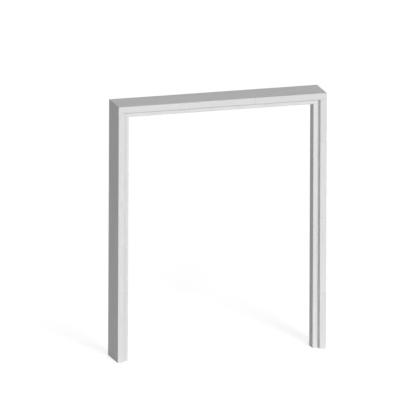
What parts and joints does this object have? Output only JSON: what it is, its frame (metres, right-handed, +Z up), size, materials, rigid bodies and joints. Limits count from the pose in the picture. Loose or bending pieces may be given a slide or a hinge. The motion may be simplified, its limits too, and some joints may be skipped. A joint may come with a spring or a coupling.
{
  "type": "door frame",
  "caption": "Timber door frame for a pair of leaves: a head board lies over the jambs, and planted stops with punched and filled nails line the opening.",
  "frame": {"origin": "on the floor, at the middle of the frame's width and of its depth", "axes": "+X runs across the opening to the right, seen from the side where the leaves go. +Y runs through the wall, away from that side. +Z is up."},
  "size_m": [1.713, 0.273, 2.084],
  "materials": {
    "primed_timber": "matte",
    "screw_steel": "satin",
    "nail_steel": "satin",
    "filler": "matte"
  },
  "bodies": {
    "root": {"head": "primed_timber", "left_jamb": "primed_timber", "right_jamb": "primed_timber", "head_stop": "primed_timber", "left_stop": "primed_timber", "right_stop": "primed_timber", "left_head_screws": "screw_steel", "right_head_screws": "screw_steel", "stop_nails": "nail_steel", "nail_filler": "filler"}
  },
  "joints": []
}
